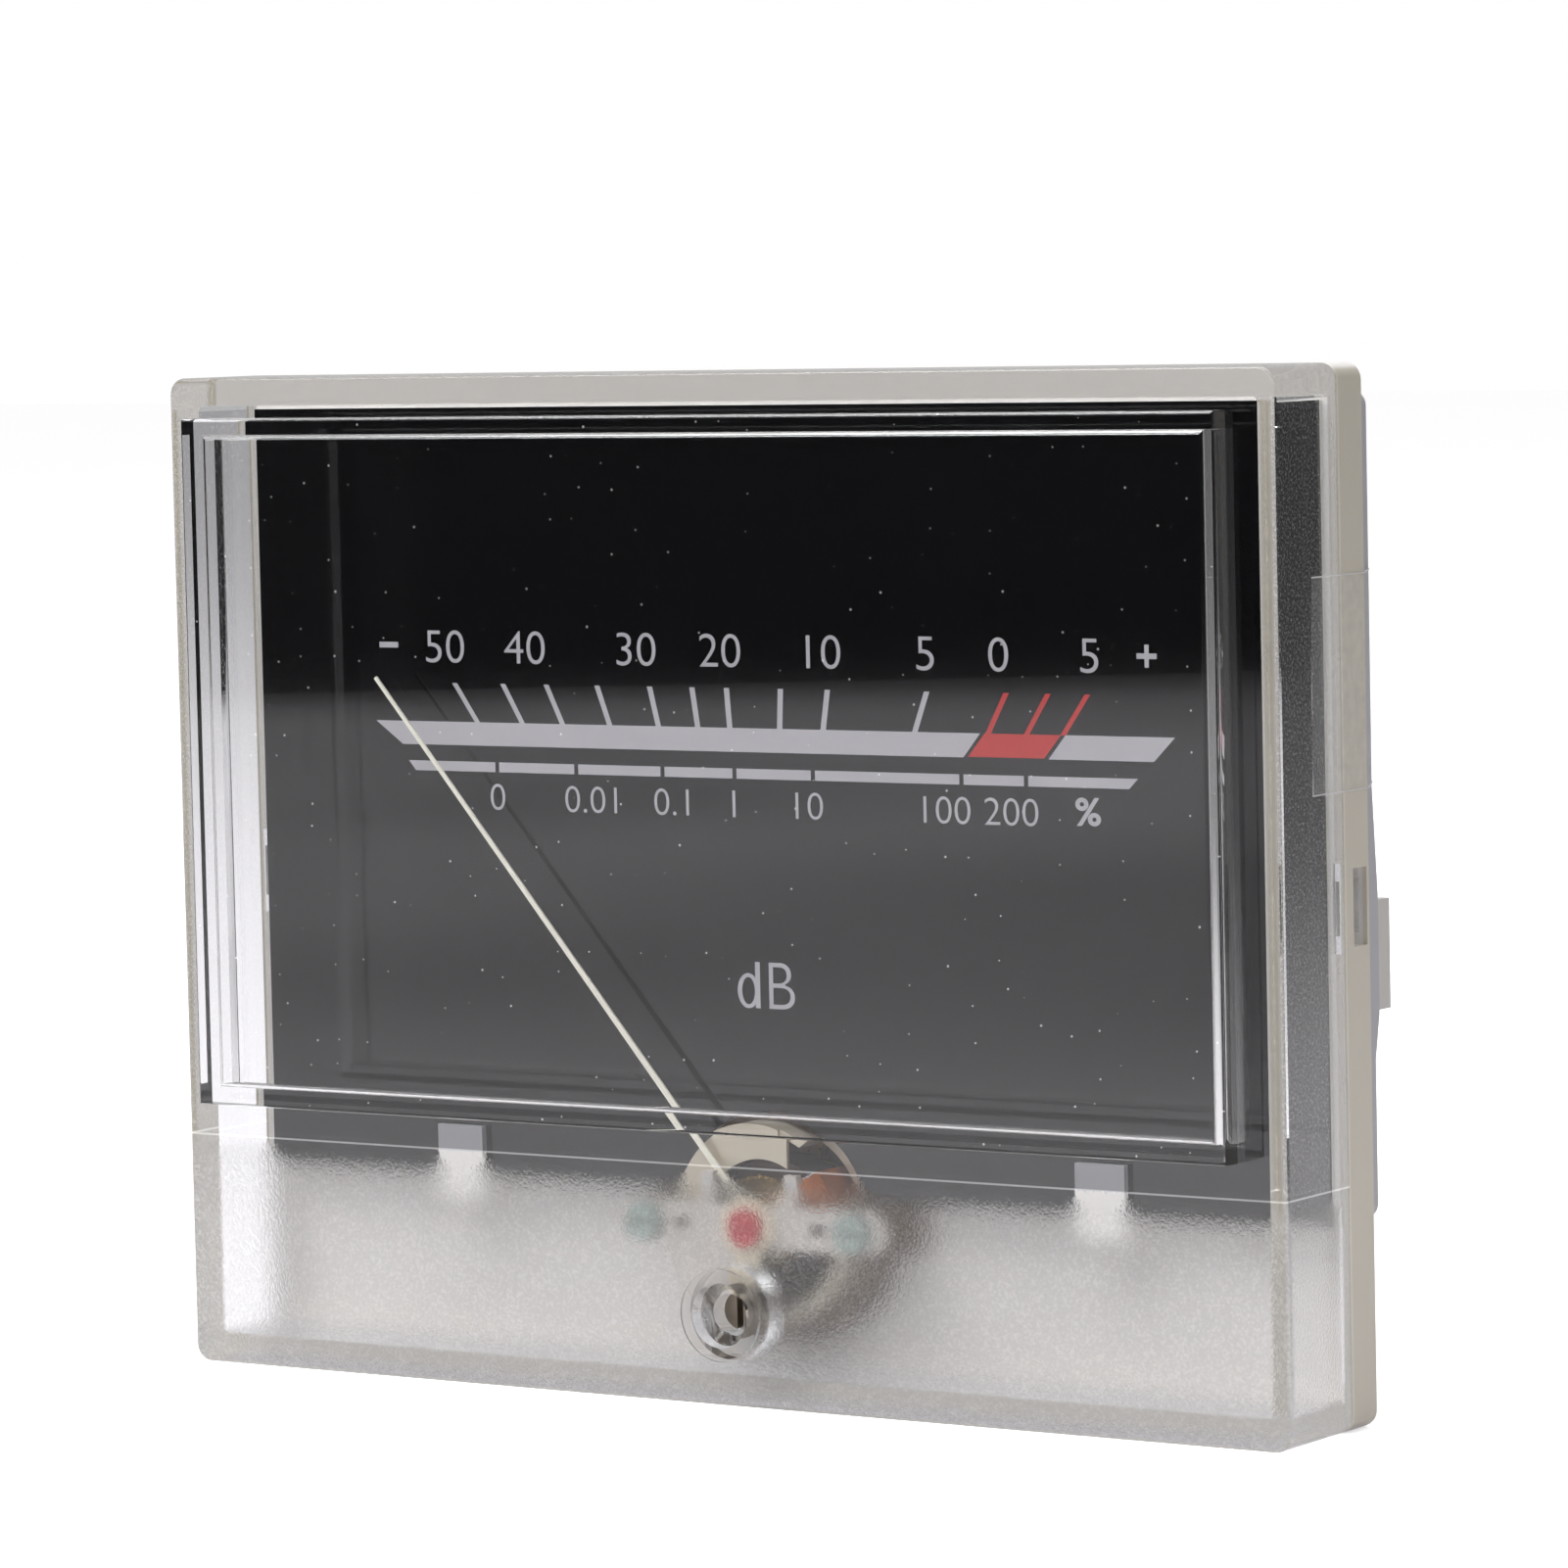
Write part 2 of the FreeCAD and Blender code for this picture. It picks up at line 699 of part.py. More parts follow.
def zero_lever():
    back = "lever_front + lever_thick"
    ring = rod("centre_x", "pivot_z", "ring_radius", "lever_front", back)
    arm = block(
        "centre_x - 1", "centre_x + 1", "lever_front", back, "pivot_z - 6", "pivot_z - 1.7",
    )
    stud = rod("centre_x", "pivot_z - stud_reach", "0.3", "lever_front + 0.1", "6")
    hole = rod("centre_x", "pivot_z", "ring_bore", "3", "5")
    fork = block(
        "centre_x - crank_radius - 0.04", "centre_x + crank_radius + 0.04", "3", "5",
        "pivot_z - 7", "pivot_z - 4.4",
    )
    node(cut(join([ring, arm, stud]), [hole, fork]), "zero_lever")


def pointer_stops():
    pins = []
    for side in (-1, 1):
        pins.append(rod(
            "centre_x + (%s)" % (3.4 * side), "pivot_z + 3.1", "0.25", "bridge_front", "5.75",
        ))
    node(group(pins), "pointer_stops")


def spiral_path(depth, start):
    """Half circles whose radius grows by half the pitch at each half turn."""
    centre_x = VALUES["centre_x"]
    pivot_z = VALUES["pivot_z"]
    edges = []
    left = start
    sign = 1
    where = centre_x + sign * left
    for half_turn in range(2 * SPRING_TURNS):
        across = 2 * left + SPRING_PITCH / 2
        end = where - sign * across
        middle = (where + end) / 2
        first = FreeCAD.Vector(where, depth, pivot_z)
        top = FreeCAD.Vector(middle, depth, pivot_z + sign * across / 2)
        last = FreeCAD.Vector(end, depth, pivot_z)
        edges.append(Part.Arc(first, top, last).toShape())
        left = across / 2 + SPRING_PITCH / 4
        where = end
        sign = -sign
    return Part.Wire(edges)


def hairspring(name, depth, angle):
    path = spiral_path(depth, 1.15)
    first = path.Edges[0].Vertexes[0].Point
    ring = Part.makeCircle(SPRING_WIRE, first, FreeCAD.Vector(0, 0, 1))
    tube = path.makePipeShell([Part.Wire([ring])], True, False)
    item = document.addObject("Part::Feature", "spiral")
    item.Shape = tube
    node(turned(item, angle), name)
    print(name, "least gap to itself", round(SPRING_PITCH - 2 * SPRING_WIRE, 3))


def side_tape():
    """A thin clear film that holds the cover, the housing and the grey cover together."""
    low = 42.5
    high = 56.8
    side = VALUES["case_width"] / 2
    thick = VALUES["tape_thick"]
    rear = VALUES["back_rear"]
    inner = [
        (side, 4.3), (side, VALUES["housing_back"]),
        (VALUES["back_half"], rear), (VALUES["back_half"] - 3, rear),
    ]
    outer = [
        (VALUES["back_half"] - 3, rear + thick), (VALUES["back_half"] + thick, rear + thick),
        (side + thick, VALUES["housing_back"] + thick), (side + thick, 4.3),
    ]
    points = [FreeCAD.Vector(x, y, low) for x, y in inner + outer]
    profile = Part.Face(Part.makePolygon(points + points[:1]))
    item = document.addObject("Part::Feature", "film")
    item.Shape = profile.extrude(FreeCAD.Vector(0, 0, high - low))
    node(item, "side_tape")


front_cover()
zero_adjuster()
sheet_behind_window("dial_plate", "dial_front", "dial_front + dial_thick")
sheet_behind_window(
    "dial_diffuser", "dial_front + dial_thick", "dial_front + dial_thick + diffuser_thick",
)
rear_housing()
back_cover()
case_screws()
lamp_board()
lamps()
board_screws()
terminal_block()
terminal_pins()
movement_base()
magnet_yoke()
core_holder()
magnet_core()
moving_coil()
pivots()
pointer()
balance_weights()
front_bridge()
bridge_screws()
jewels()
zero_lever()
pointer_stops()
hairspring("front_hairspring", 5.9, 90)
hairspring("rear_hairspring", 13.25, -90)
side_tape()

document.recompute()
for item in document.Objects:
    if "Invalid" in item.State or "Error" in item.State:
        raise RuntimeError("failed object: %s %s" % (item.Name, item.State))
os.makedirs("parts", exist_ok=True)
for item in NODES:
    shape = item.Shape
    if shape.isNull() or not shape.isValid():
        raise RuntimeError("bad shape: " + item.Label)
    shape.exportStep("parts/%s.step" % item.Label)
    box = shape.BoundBox
    print("%-18s solids %d  volume %9.3f  x %.2f %.2f  y %.2f %.2f  z %.2f %.2f" % (
        item.Label, len(shape.Solids), shape.Volume, box.XMin, box.XMax, box.YMin, box.YMax,
        box.ZMin, box.ZMax,
    ))
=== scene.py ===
# Analog panel level meter: materials, dial printing, studio and camera.
# Metres, in the frame of the CAD model: X right, Y back, Z up.
import bpy
import json
import math
from mathutils import Matrix, Vector


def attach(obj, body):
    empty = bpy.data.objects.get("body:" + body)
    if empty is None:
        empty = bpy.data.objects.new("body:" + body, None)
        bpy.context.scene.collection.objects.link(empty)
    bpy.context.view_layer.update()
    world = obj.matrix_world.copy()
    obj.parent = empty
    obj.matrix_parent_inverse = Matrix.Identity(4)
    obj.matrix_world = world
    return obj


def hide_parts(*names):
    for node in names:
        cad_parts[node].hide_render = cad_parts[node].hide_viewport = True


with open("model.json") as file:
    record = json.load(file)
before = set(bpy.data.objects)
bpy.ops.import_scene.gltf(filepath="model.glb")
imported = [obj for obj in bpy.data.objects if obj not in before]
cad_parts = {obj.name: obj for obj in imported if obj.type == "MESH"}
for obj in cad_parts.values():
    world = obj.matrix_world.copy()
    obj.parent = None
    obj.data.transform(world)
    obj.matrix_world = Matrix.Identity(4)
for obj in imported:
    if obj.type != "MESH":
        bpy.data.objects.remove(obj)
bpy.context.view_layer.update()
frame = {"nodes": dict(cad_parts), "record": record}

# Sizes in millimetres, as in the part's source.
MM = 0.001
MIDDLE_DEPTH = 7.975
CENTRE_X = 0.7
HOLE_Z = 6.23
PIVOT_Z = 11.85
DIAL_FRONT = 7.75
FROST_TOP = 16.5

# The print's place on the dial: shift to the right, shift down, and scale.
PRINT_X = 0.2
PRINT_DROP = 0.14
PRINT_SCALE = 1.0019
PRINT_LIFT = 0.03

# Places on the cover and the case, in millimetres from the frame's origin; they also bound the
# painted glow on the cover, and the painted glow and painted shade on the case.
LEDGE_Y = -7.7
WINDOW_Y = -9.5
COVER_SIDE_X = 44.9
CLEAR_RING = 3.3
RAGGED_HEIGHT = 2.2
CASE_FRONT_Y = 0.8
CASE_SIDE_X = 44.8
TAB_Y = -0.2
TAB_Z = 15.4

# The film on the right side: its ends, and its section from above as (x, y), inner face first.
FILM_LOW = 42.5
FILM_HIGH = 56.8
FILM_FRONT = 5.0
FILM_SECTION = (
    (45.025, 4.33), (45.025, 11.81), (43.03, 16.115), (40.05, 16.115),
    (40.05, 16.165), (43.06, 16.165), (45.07, 11.82), (45.07, 4.33),
)


def mm(x, y, z):
    """A point given as in the part's source, with depths from the front face."""
    return Vector((x * MM, (y - MIDDLE_DEPTH) * MM, z * MM))


def on_dial(x, z):
    """A point on the dial's print, from its middle and the foot of the meter."""
    return mm(PRINT_X + x * PRINT_SCALE, DIAL_FRONT - PRINT_LIFT, z * PRINT_SCALE - PRINT_DROP)


def linear(red, green, blue):
    """A colour read from 0 to 255, as linear values."""
    values = []
    for level in (red, green, blue):
        share = level / 255
        values.append(share / 12.92 if share <= 0.04045 else ((share + 0.055) / 1.055) ** 2.4)
    return (*values, 1.0)


def new_group(name, inputs, outputs):
    """An empty shader group with its named sockets."""
    tree = bpy.data.node_groups.new(name, "ShaderNodeTree")
    for label, kind in inputs:
        tree.interface.new_socket(label, in_out="INPUT", socket_type=kind)
    for label, kind in outputs:
        tree.interface.new_socket(label, in_out="OUTPUT", socket_type=kind)
    return tree, tree.nodes.new("NodeGroupInput"), tree.nodes.new("NodeGroupOutput")


def math_node(tree, operation, first, second):
    """The output of one arithmetic node, fed by numbers or sockets."""
    node = tree.nodes.new("ShaderNodeMath")
    node.operation = operation
    for socket, value in zip(node.inputs, (first, second)):
        if isinstance(value, (int, float)):
            socket.default_value = value
        else:
            tree.links.new(value, socket)
    return node.outputs[0]


def build_finish_group():
    """Fine grain, broad unevenness and a little roughness change for any surface."""
    tree, start, end = new_group(
        "surface_finish",
        [
            ("Colour", "NodeSocketColor"), ("Tint", "NodeSocketColor"),
            ("Unevenness", "NodeSocketFloat"), ("Roughness", "NodeSocketFloat"),
            ("Roughness Shift", "NodeSocketFloat"), ("Grain Scale", "NodeSocketFloat"),
            ("Grain Depth", "NodeSocketFloat"),
        ],
        [("Colour", "NodeSocketColor"), ("Roughness", "NodeSocketFloat"),
         ("Normal", "NodeSocketVector")],
    )
    place = tree.nodes.new("ShaderNodeTexCoord")
    grain = tree.nodes.new("ShaderNodeTexNoise")
    grain.inputs["Detail"].default_value = 4
    tree.links.new(place.outputs["Object"], grain.inputs["Vector"])
    tree.links.new(start.outputs["Grain Scale"], grain.inputs["Scale"])
    broad = tree.nodes.new("ShaderNodeTexNoise")
    broad.inputs["Scale"].default_value = 90
    broad.inputs["Detail"].default_value = 3
    tree.links.new(place.outputs["Object"], broad.inputs["Vector"])
    mix = tree.nodes.new("ShaderNodeMix")
    mix.data_type = "RGBA"
    tree.links.new(start.outputs["Colour"], mix.inputs["A"])
    tree.links.new(start.outputs["Tint"], mix.inputs["B"])
    amount = math_node(tree, "MULTIPLY", broad.outputs["Fac"], start.outputs["Unevenness"])
    tree.links.new(amount, mix.inputs["Factor"])
    swing = math_node(tree, "SUBTRACT", grain.outputs["Fac"], 0.5)
    swing = math_node(tree, "MULTIPLY", swing, start.outputs["Roughness Shift"])
    rough = math_node(tree, "ADD", swing, start.outputs["Roughness"])
    bump = tree.nodes.new("ShaderNodeBump")
    bump.inputs["Distance"].default_value = 0.00004
    tree.links.new(start.outputs["Grain Depth"], bump.inputs["Strength"])
    tree.links.new(grain.outputs["Fac"], bump.inputs["Height"])
    tree.links.new(mix.outputs["Result"], end.inputs["Colour"])
    tree.links.new(rough, end.inputs["Roughness"])
    tree.links.new(bump.outputs["Normal"], end.inputs["Normal"])
    return tree


FINISH = build_finish_group()


def new_material(name):
    """A new material with its node tree and its surface node."""
    material = bpy.data.materials.new(name)
    material.use_nodes = True
    return material, material.node_tree, material.node_tree.nodes["Principled BSDF"]


def plain(name, colour, tint=None, rough=0.4, shift=0.15, uneven=0.3, scale=4000,
          depth=0.15, metal=0.0, coat=0.0, glow=0.0):
    """A material with the shared finish: colour, a second tint, grain and unevenness."""
    material, tree, surface = new_material(name)
    finish = tree.nodes.new("ShaderNodeGroup")
    finish.node_tree = FINISH
    finish.inputs["Colour"].default_value = colour
    finish.inputs["Tint"].default_value = tint or tuple(0.8 * c for c in colour[:3]) + (1.0,)
    finish.inputs["Unevenness"].default_value = uneven
    finish.inputs["Roughness"].default_value = rough
    finish.inputs["Roughness Shift"].default_value = shift
    finish.inputs["Grain Scale"].default_value = scale
    finish.inputs["Grain Depth"].default_value = depth
    tree.links.new(finish.outputs["Colour"], surface.inputs["Base Color"])
    tree.links.new(finish.outputs["Roughness"], surface.inputs["Roughness"])
    tree.links.new(finish.outputs["Normal"], surface.inputs["Normal"])
    surface.inputs["Metallic"].default_value = metal
    surface.inputs["Coat Weight"].default_value = coat
    if glow:
        surface.inputs["Subsurface Weight"].default_value = glow
        surface.inputs["Subsurface Radius"].default_value = (0.004, 0.0038, 0.0033)
    return material


def pass_light(tree, surface, share):
    """Lets light for the pieces inside through a clear piece, as it does in the real one."""
    rays = tree.nodes.new("ShaderNodeLightPath")
    blocked = math_node(tree, "MULTIPLY", rays.outputs["Is Shadow Ray"], share)
    solid = math_node(tree, "SUBTRACT", 1.0, blocked)
    tree.links.new(solid, surface.inputs["Alpha"])


def ramp(tree, value, low, high):
    """0 below one value, 1 above the other, smooth between."""
    node = tree.nodes.new("ShaderNodeMapRange")
    node.interpolation_type = "SMOOTHSTEP"
    node.inputs["From Min"].default_value = low
    node.inputs["From Max"].default_value = high
    tree.links.new(value, node.inputs["Value"])
    return node.outputs["Result"]


def build_marks_group():
    """Masks of the clear cover: its frosted band, the line above it, dust specks and hazy sides;
    the line only sets a painted bright line, and the band, the specks and the sides also set a
    painted glow.
    """
    tree, start, end = new_group(
        "cover_marks",
        [("Dust Amount", "NodeSocketFloat")],
        [("Frost", "NodeSocketFloat"), ("Line", "NodeSocketFloat"),
         ("Dust", "NodeSocketFloat"), ("Haze", "NodeSocketFloat"), ("Grain", "NodeSocketFloat")],
    )
    place = tree.nodes.new("ShaderNodeTexCoord").outputs["Object"]
    parts = tree.nodes.new("ShaderNodeSeparateXYZ")
    tree.links.new(place, parts.inputs["Vector"])
    across, depth, height = parts.outputs
    grain = tree.nodes.new("ShaderNodeTexNoise")
    grain.inputs["Scale"].default_value = 5200
    grain.inputs["Detail"].default_value = 3
    tree.links.new(place, grain.inputs["Vector"])
    ragged = math_node(tree, "MULTIPLY", grain.outputs["Fac"], RAGGED_HEIGHT * MM)
    level = math_node(tree, "ADD", height, ragged)
    front = ramp(tree, depth, (LEDGE_Y + 0.15) * MM, LEDGE_Y * MM)
    side = math_node(tree, "ABSOLUTE", across, 0.0)
    side = ramp(tree, side, (COVER_SIDE_X - 0.2) * MM, COVER_SIDE_X * MM)
    under = ramp(tree, height, 0.3 * MM, 0.1 * MM)
    outside = math_node(tree, "MAXIMUM", front, math_node(tree, "MAXIMUM", side, under))
    from_hole = tree.nodes.new("ShaderNodeVectorMath")
    from_hole.operation = "DISTANCE"
    from_hole.inputs[1].default_value = (CENTRE_X * MM, 0.0, HOLE_Z * MM)
    level_point = tree.nodes.new("ShaderNodeCombineXYZ")
    tree.links.new(across, level_point.inputs["X"])
    tree.links.new(height, level_point.inputs["Z"])
    tree.links.new(level_point.outputs["Vector"], from_hole.inputs[0])
    clear_ring = ramp(tree, from_hole.outputs["Value"], (CLEAR_RING - 0.3) * MM, CLEAR_RING * MM)
    outside = math_node(tree, "MULTIPLY", outside, clear_ring)
    band = ramp(tree, level, (FROST_TOP + 1.1) * MM, (FROST_TOP - 0.7) * MM)
    frost_and_glow = math_node(tree, "MULTIPLY", band, outside)
    # The line above the band: it only sets a painted bright line on the cover.
    above = ramp(tree, height, (FROST_TOP + 0.06) * MM, FROST_TOP * MM)
    below = ramp(tree, height, (FROST_TOP - 0.12) * MM, (FROST_TOP - 0.06) * MM)
    line = math_node(tree, "MULTIPLY", above, below)
    line = math_node(tree, "MULTIPLY", line, outside)
    spots = tree.nodes.new("ShaderNodeTexVoronoi")
    spots.voronoi_dimensions = "2D"
    spots.inputs["Scale"].default_value = 420
    flat = tree.nodes.new("ShaderNodeCombineXYZ")
    tree.links.new(across, flat.inputs["X"])
    tree.links.new(height, flat.inputs["Y"])
    tree.links.new(flat.outputs["Vector"], spots.inputs["Vector"])
    tone = tree.nodes.new("ShaderNodeSeparateColor")
    tree.links.new(spots.outputs["Color"], tone.inputs["Color"])
    size = math_node(tree, "MULTIPLY", tone.outputs["Red"], 0.036)
    near = math_node(tree, "LESS_THAN", spots.outputs["Distance"], size)
    some = math_node(tree, "LESS_THAN", tone.outputs["Green"], start.outputs["Dust Amount"])
    window = math_node(tree, "LESS_THAN", depth, WINDOW_Y * MM)
    dust_and_glow = math_node(tree, "MULTIPLY", near, some)
    dust_and_glow = math_node(tree, "MULTIPLY", dust_and_glow, window)
    fine = ramp(tree, grain.outputs["Fac"], 0.45, 0.75)
    haze_and_glow = math_node(tree, "MULTIPLY", side, fine)
    for label, value in (("Frost", frost_and_glow), ("Line", line), ("Dust", dust_and_glow), ("Haze", haze_and_glow),
                         ("Grain", grain.outputs["Fac"])):
        tree.links.new(value, end.inputs[label])
    return tree


def clear_cover():
    """Clear moulding with dust specks, hazy sides and a frosted lower band; the specks, the sides,
    the band and the line above it also glow faintly as painted light.
    """
    material, tree, surface = new_material("clear_acrylic")
    marks = tree.nodes.new("ShaderNodeGroup")
    marks.node_tree = build_marks_group()
    marks.inputs["Dust Amount"].default_value = 0.6
    frosted = math_node(tree, "MULTIPLY", marks.outputs["Frost"], 0.25)
    hazed = math_node(tree, "MULTIPLY", marks.outputs["Haze"], 0.2)
    rough = math_node(tree, "MAXIMUM", frosted, hazed)
    rough = math_node(tree, "ADD", rough, 0.01)
    tree.links.new(rough, surface.inputs["Roughness"])
    surface.inputs["Base Color"].default_value = (0.975, 0.98, 0.985, 1.0)
    surface.inputs["Transmission Weight"].default_value = 1.0
    surface.inputs["IOR"].default_value = 1.49
    grain = tree.nodes.new("ShaderNodeBump")
    grain.inputs["Distance"].default_value = 0.00008
    tree.links.new(math_node(tree, "MULTIPLY", marks.outputs["Frost"], 0.7),
                   grain.inputs["Strength"])
    tree.links.new(marks.outputs["Grain"], grain.inputs["Height"])
    tree.links.new(grain.outputs["Normal"], surface.inputs["Normal"])
    # Painted light: the frosted band glows faintly, brighter on its grain, standing in for the lit
    # case seen through it.
    painted_frost_glint = ramp(tree, marks.outputs["Grain"], 0.45, 0.68)
    painted_frost_glint = math_node(tree, "MULTIPLY", painted_frost_glint, 0.09)
    painted_frost_glint = math_node(tree, "ADD", painted_frost_glint, 0.02)
    # Painted light: the dust specks, the line above the frosted band and the hazy sides glow,
    # though the cover is no lamp; the specks are real dust, their brightness is painted.
    glow = math_node(tree, "MULTIPLY", marks.outputs["Dust"], 0.35)
    for mark, amount in (("Line", 0.3), ("Haze", 0.11), ("Frost", painted_frost_glint)):
        painted_light = math_node(tree, "MULTIPLY", marks.outputs[mark], amount)
        glow = math_node(tree, "MAXIMUM", glow, painted_light)
    shade = tree.nodes.new("ShaderNodeCombineColor")
    for label in ("Red", "Green", "Blue"):
        tree.links.new(glow, shade.inputs[label])
    tree.links.new(shade.outputs["Color"], surface.inputs["Emission Color"])
    surface.inputs["Emission Strength"].default_value = 1.0
    pass_light(tree, surface, 0.85)
    return material


def milky_plastic():
    """Translucent milky moulding with painted light: the sides painted in a darker, warmer tone as
    shade, a painted glow that is stronger on the front, and the tabs over the dark dial painted
    grey as shade.
    """
    material = plain(
        "milky_plastic", linear(226, 223, 220), linear(210, 206, 203), rough=0.38, glow=0.35,
    )
    tree = material.node_tree
    surface = tree.nodes["Principled BSDF"]
    colour = surface.inputs["Base Color"].links[0].from_socket
    parts = tree.nodes.new("ShaderNodeSeparateXYZ")
    tree.links.new(tree.nodes.new("ShaderNodeTexCoord").outputs["Object"],
                   parts.inputs["Vector"])
    across, depth, height = parts.outputs
    # Painted shade: the whitish tabs over the dark dial are painted grey, and get none of the
    # painted glow below.
    front = math_node(tree, "LESS_THAN", depth, TAB_Y * MM)
    high = math_node(tree, "GREATER_THAN", height, TAB_Z * MM)
    tabs = math_node(tree, "MULTIPLY", front, high)
    # Painted shade: the case's sides get a darker, warmer tone, as they get less light.
    side = math_node(tree, "ABSOLUTE", across, 0.0)
    side = ramp(tree, side, (CASE_SIDE_X - 0.3) * MM, CASE_SIDE_X * MM)
    for cover, tone in ((side, linear(196, 190, 176)), (tabs, linear(152, 152, 156))):
        mix = tree.nodes.new("ShaderNodeMix")
        mix.data_type = "RGBA"
        tree.links.new(cover, mix.inputs["Factor"])
        tree.links.new(colour, mix.inputs["A"])
        mix.inputs["B"].default_value = tone
        colour = mix.outputs["Result"]
    tree.links.new(colour, surface.inputs["Base Color"])
    # Painted glow: a faint emission over the whole moulding, stronger on its front face, standing
    # in for light that reaches the case through the clear cover.
    painted_light = ramp(tree, depth, CASE_FRONT_Y * MM, (CASE_FRONT_Y - 0.2) * MM)
    painted_light = math_node(tree, "MULTIPLY", painted_light, 0.08)
    painted_light = math_node(tree, "ADD", painted_light, 0.03)
    painted_light = math_node(tree, "MULTIPLY", math_node(tree, "SUBTRACT", 1.0, tabs), painted_light)
    shade = tree.nodes.new("ShaderNodeCombineColor")
    for label, share in (("Red", 1.0), ("Green", 0.985), ("Blue", 0.97)):
        tree.links.new(math_node(tree, "MULTIPLY", painted_light, share), shade.inputs[label])
    tree.links.new(shade.outputs["Color"], surface.inputs["Emission Color"])
    surface.inputs["Emission Strength"].default_value = 1.0
    return material


def clear_film():
    """Thin film that shows by its edges and a faint grain."""
    material, tree, surface = new_material("clear_film")
    place = tree.nodes.new("ShaderNodeTexCoord").outputs["Object"]
    parts = tree.nodes.new("ShaderNodeSeparateXYZ")
    tree.links.new(place, parts.inputs["Vector"])
    edge = ramp(tree, parts.outputs["Y"], -3.52 * MM, -3.6 * MM)
    for inner, outer in ((FILM_HIGH - 0.15, FILM_HIGH - 0.08), (FILM_LOW + 0.15, FILM_LOW + 0.08)):
        line = ramp(tree, parts.outputs["Z"], inner * MM, outer * MM)
        edge = math_node(tree, "MAXIMUM", edge, line)
    ripple = tree.nodes.new("ShaderNodeTexNoise")
    ripple.inputs["Scale"].default_value = 1500
    tree.links.new(place, ripple.inputs["Vector"])
    cover = math_node(tree, "MULTIPLY", edge, 0.4)
    veil = math_node(tree, "MULTIPLY", ripple.outputs["Fac"], 0.12)
    tree.links.new(math_node(tree, "MAXIMUM", cover, veil), surface.inputs["Alpha"])
    surface.inputs["Base Color"].default_value = (0.8, 0.8, 0.79, 1.0)
    surface.inputs["Roughness"].default_value = 0.35
    return material


PLAIN_FINISHES = {
    "grey_plastic": dict(colour=linear(178, 178, 182), rough=0.42),
    "black_print": dict(
        colour=(0.003, 0.003, 0.0035, 1.0), tint=(0.006, 0.006, 0.007, 1.0), rough=0.05,
        shift=0.02, uneven=0.3, scale=9000, depth=0.0,
    ),
    "white_sheet": dict(colour=linear(232, 232, 228), rough=0.6, glow=0.3),
    "white_board": dict(colour=linear(225, 228, 220), rough=0.35, coat=0.3),
    "lamp_resin": dict(colour=linear(236, 214, 120), rough=0.2, coat=0.6),
    "pale_terminal": dict(
        colour=linear(204, 202, 198), tint=linear(170, 168, 163), rough=0.6, scale=1800,
        depth=0.5,
    ),
    "nickel": dict(
        colour=linear(208, 199, 182), tint=linear(176, 168, 150), rough=0.4, metal=0.55,
        scale=5200,
    ),
    "dark_nickel": dict(colour=linear(132, 122, 110), rough=0.35, metal=0.8),
    "zinc": dict(colour=linear(160, 174, 168), rough=0.35, metal=0.4),
    "steel": dict(colour=linear(196, 198, 200), rough=0.3, metal=1.0),
    "brass": dict(colour=linear(205, 170, 98), rough=0.3, metal=1.0),
    "copper_wire": dict(colour=linear(205, 122, 62), rough=0.35, metal=0.8),
    "aluminium": dict(colour=linear(212, 213, 214), rough=0.35, metal=1.0),
    "magnet_brown": dict(colour=linear(72, 58, 48), rough=0.5, metal=0.3),
    "brown_resin": dict(colour=linear(104, 80, 60), rough=0.5),
    "cream_paint": dict(colour=linear(250, 246, 232), rough=0.45, uneven=0.1),
    "white_plastic": dict(colour=linear(208, 202, 196), rough=0.4),
    "cream_plastic": dict(colour=linear(226, 214, 190), rough=0.4),
    "red_lacquer": dict(
        colour=linear(188, 8, 30), tint=linear(160, 5, 22), rough=0.3, coat=0.4,
    ),
    "jewel": dict(colour=linear(190, 60, 90), rough=0.12, coat=0.8),
    "print_light": dict(colour=linear(188, 186, 191), rough=0.5, uneven=0.15, scale=7000),
    "print_red": dict(colour=linear(196, 52, 52), rough=0.5, uneven=0.15, scale=7000),
}
MATERIALS = {name: plain(name, **finish) for name, finish in PLAIN_FINISHES.items()}
MATERIALS["clear_acrylic"] = clear_cover()
MATERIALS["clear_film"] = clear_film()
MATERIALS["milky_plastic"] = milky_plastic()

SLOTS = {entry["node"]: entry["material_slot"] for entry in frame["record"]["subparts"]}
for name, item in frame["nodes"].items():
    item.data.materials.clear()
    item.data.materials.append(MATERIALS[SLOTS[name]])


def new_piece(name, points, faces, material):
    """A mesh at the origin with one material."""
    mesh = bpy.data.meshes.new(name)
    mesh.from_pydata([tuple(point) for point in points], [], faces)
    mesh.materials.append(material)
    item = bpy.data.objects.new(name, mesh)
    bpy.context.scene.collection.objects.link(item)
    return item


def flat_shapes(name, shapes, material):
    """Thin printed areas on the dial: each shape is a list of (x from the centre, z)."""
    points = []
    faces = []
    for shape in shapes:
        first = len(points)
        points.extend(on_dial(x, z) for x, z in shape)
        faces.append(tuple(range(first, first + len(shape))))
    item = new_piece(name, points, faces, material)
    item.data.validate()
    for polygon in item.data.polygons:
        if polygon.normal.y > 0:
            polygon.flip()
    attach(item, "case")


